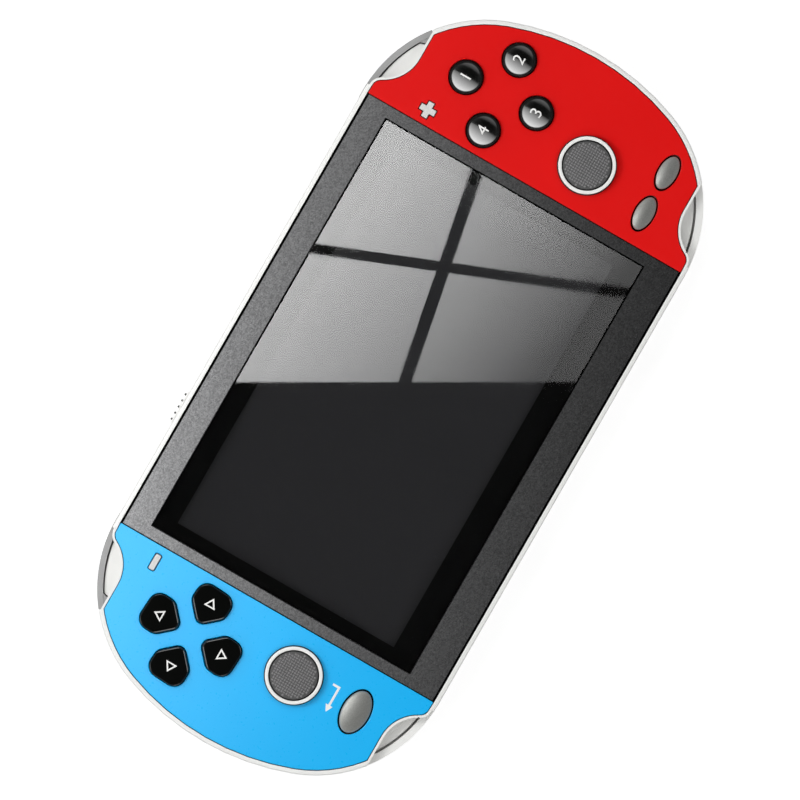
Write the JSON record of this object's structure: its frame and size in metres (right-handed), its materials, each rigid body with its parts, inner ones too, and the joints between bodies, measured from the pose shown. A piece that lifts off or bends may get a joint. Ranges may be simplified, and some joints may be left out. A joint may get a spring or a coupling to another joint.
{
  "type": "handheld game console",
  "caption": "Handheld game console with a wide screen between a blue and a red end plate, direction keys, round buttons, slide sticks, shoulder buttons and a power slide",
  "frame": {"origin": "middle of the flat back, on which the console lies", "axes": "+X along the body towards the red end, +Y towards the shoulder buttons, +Z out of the screen"},
  "size_m": [0.1714, 0.0812, 0.0183],
  "materials": {
    "white_case": "moulded white ABS with a soft gloss",
    "blue_plate": "sky blue painted plastic plate, satin gloss",
    "red_plate": "red painted plastic plate, satin gloss",
    "grey_panel": "grey metallic paint with fine flake",
    "clear_lens": "clear hard-coated acrylic",
    "black_tape": "black adhesive film",
    "display_glass": "dark switched-off display",
    "key_black": "black gloss moulded plastic",
    "key_grey": "silver grey painted plastic",
    "key_white": "white moulded plastic",
    "shoulder_grey": "grey moulded plastic",
    "stick_grey": "grey textured rubber",
    "silicone": "translucent grey silicone",
    "black_plastic": "black moulded plastic",
    "acetal": "white low-friction plastic",
    "steel": "plated steel",
    "board_green": "green solder mask on glass fibre",
    "chip_black": "moulded chip package",
    "foam_black": "black foam",
    "flex_amber": "amber film ribbon",
    "connector_ivory": "ivory connector plastic",
    "battery_foil": "aluminium laminate pouch",
    "wire_red": "insulated wire",
    "camera_glass": "dark clear window"
  },
  "bodies": {
    "case": {"front_shell": "white_case", "rear_shell": "white_case", "left_plate": "blue_plate", "right_plate": "red_plate", "screen_panel": "grey_panel", "screen_lens": "clear_lens", "lens_tape": "black_tape", "lcd_gasket": "foam_black", "lcd_panel": "display_glass", "lcd_tray": "steel", "lcd_pads": "foam_black", "lcd_flex": "flex_amber", "flex_connector": "connector_ivory", "dpad_membrane": "silicone", "button_membrane": "silicone", "small_domes": "silicone", "stick_covers": "steel", "shoulder_pins": "steel", "shoulder_switches": "black_plastic", "power_switch": "steel", "main_board": "board_green", "chips": "chip_black", "board_screws": "steel", "case_screws": "steel", "battery": "battery_foil", "battery_lead": "wire_red", "battery_connector": "connector_ivory", "speakers": "black_plastic", "camera_module": "black_plastic", "camera_window": "camera_glass", "usb_socket": "steel", "earphone_jack": "black_plastic", "card_socket": "steel", "left_stick_base": "black_plastic", "right_stick_base": "black_plastic"},
    "dpad_up": {"dpad_up": "key_black"},
    "dpad_down": {"dpad_down": "key_black"},
    "dpad_left": {"dpad_left": "key_black"},
    "dpad_right": {"dpad_right": "key_black"},
    "button_north": {"button_north": "key_black"},
    "button_east": {"button_east": "key_black"},
    "button_south": {"button_south": "key_black"},
    "button_west": {"button_west": "key_black"},
    "back_key": {"back_key": "key_grey"},
    "start_key": {"start_key": "key_grey"},
    "select_key": {"select_key": "key_grey"},
    "volume_up_key": {"volume_up_key": "key_white"},
    "volume_down_key": {"volume_down_key": "key_white"},
    "left_slide": {"left_stick_slide": "acetal"},
    "left_stick": {"left_stick_post": "black_plastic", "left_stick_ring": "key_white", "left_stick_cap": "stick_grey"},
    "right_slide": {"right_stick_slide": "acetal"},
    "right_stick": {"right_stick_post": "black_plastic", "right_stick_ring": "key_white", "right_stick_cap": "stick_grey"},
    "left_shoulder": {"left_shoulder": "shoulder_grey"},
    "right_shoulder": {"right_shoulder": "shoulder_grey"},
    "power_slider": {"power_slider": "key_white"}
  },
  "joints": [
    {"name": "dpad_up_press", "type": "slide", "parent": "case", "child": "dpad_up", "axis": [0, 0, -1], "range_m": [0, 0.0008], "stiffness_N_per_m": 600, "springref_m": -0.00016, "deforming": ["dpad_membrane"]},
    {"name": "dpad_down_press", "type": "slide", "parent": "case", "child": "dpad_down", "axis": [0, 0, -1], "range_m": [0, 0.0008], "stiffness_N_per_m": 600, "springref_m": -0.00016, "deforming": ["dpad_membrane"]},
    {"name": "dpad_left_press", "type": "slide", "parent": "case", "child": "dpad_left", "axis": [0, 0, -1], "range_m": [0, 0.0008], "stiffness_N_per_m": 600, "springref_m": -0.00016, "deforming": ["dpad_membrane"]},
    {"name": "dpad_right_press", "type": "slide", "parent": "case", "child": "dpad_right", "axis": [0, 0, -1], "range_m": [0, 0.0008], "stiffness_N_per_m": 600, "springref_m": -0.00016, "deforming": ["dpad_membrane"]},
    {"name": "button_north_press", "type": "slide", "parent": "case", "child": "button_north", "axis": [0, 0, -1], "range_m": [0, 0.001], "stiffness_N_per_m": 600, "springref_m": -0.0002, "deforming": ["button_membrane"]},
    {"name": "button_east_press", "type": "slide", "parent": "case", "child": "button_east", "axis": [0, 0, -1], "range_m": [0, 0.001], "stiffness_N_per_m": 600, "springref_m": -0.0002, "deforming": ["button_membrane"]},
    {"name": "button_south_press", "type": "slide", "parent": "case", "child": "button_south", "axis": [0, 0, -1], "range_m": [0, 0.001], "stiffness_N_per_m": 600, "springref_m": -0.0002, "deforming": ["button_membrane"]},
    {"name": "button_west_press", "type": "slide", "parent": "case", "child": "button_west", "axis": [0, 0, -1], "range_m": [0, 0.001], "stiffness_N_per_m": 600, "springref_m": -0.0002, "deforming": ["button_membrane"]},
    {"name": "back_key_press", "type": "slide", "parent": "case", "child": "back_key", "axis": [0, 0, -1], "range_m": [0, 0.0006], "stiffness_N_per_m": 600, "springref_m": -0.00012, "deforming": ["small_domes"]},
    {"name": "start_key_press", "type": "slide", "parent": "case", "child": "start_key", "axis": [0, 0, -1], "range_m": [0, 0.0006], "stiffness_N_per_m": 600, "springref_m": -0.00012, "deforming": ["small_domes"]},
    {"name": "select_key_press", "type": "slide", "parent": "case", "child": "select_key", "axis": [0, 0, -1], "range_m": [0, 0.0006], "stiffness_N_per_m": 600, "springref_m": -0.00012, "deforming": ["small_domes"]},
    {"name": "volume_up_key_press", "type": "slide", "parent": "case", "child": "volume_up_key", "axis": [0, 0, -1], "range_m": [0, 0.0003], "stiffness_N_per_m": 600, "springref_m": -0.00006, "deforming": ["small_domes"]},
    {"name": "volume_down_key_press", "type": "slide", "parent": "case", "child": "volume_down_key", "axis": [0, 0, -1], "range_m": [0, 0.0003], "stiffness_N_per_m": 600, "springref_m": -0.00006, "deforming": ["small_domes"]},
    {"name": "left_stick_x", "type": "slide", "parent": "case", "child": "left_slide", "axis": [1, 0, 0], "range_m": [-0.0015, 0.0015], "stiffness_N_per_m": 200},
    {"name": "left_stick_y", "type": "slide", "parent": "left_slide", "child": "left_stick", "axis": [0, 1, 0], "range_m": [-0.0015, 0.0015], "stiffness_N_per_m": 200},
    {"name": "right_stick_x", "type": "slide", "parent": "case", "child": "right_slide", "axis": [1, 0, 0], "range_m": [-0.0015, 0.0015], "stiffness_N_per_m": 200},
    {"name": "right_stick_y", "type": "slide", "parent": "right_slide", "child": "right_stick", "axis": [0, 1, 0], "range_m": [-0.0015, 0.0015], "stiffness_N_per_m": 200},
    {"name": "left_shoulder_press", "type": "hinge", "parent": "case", "child": "left_shoulder", "pos_m": [-0.07212, 0.02893, 0.01], "axis": [0, 0, -1], "range_deg": [0, 0.8], "stiffness_Nm_per_rad": 0.1, "springref_deg": -1.15},
    {"name": "right_shoulder_press", "type": "hinge", "parent": "case", "child": "right_shoulder", "pos_m": [0.07212, 0.02893, 0.01], "axis": [0, 0, 1], "range_deg": [0, 0.8], "stiffness_Nm_per_rad": 0.1, "springref_deg": -1.15},
    {"name": "power_slide", "type": "slide", "parent": "case", "child": "power_slider", "axis": [1, 0, 0], "range_m": [0, 0.003]}
  ]
}
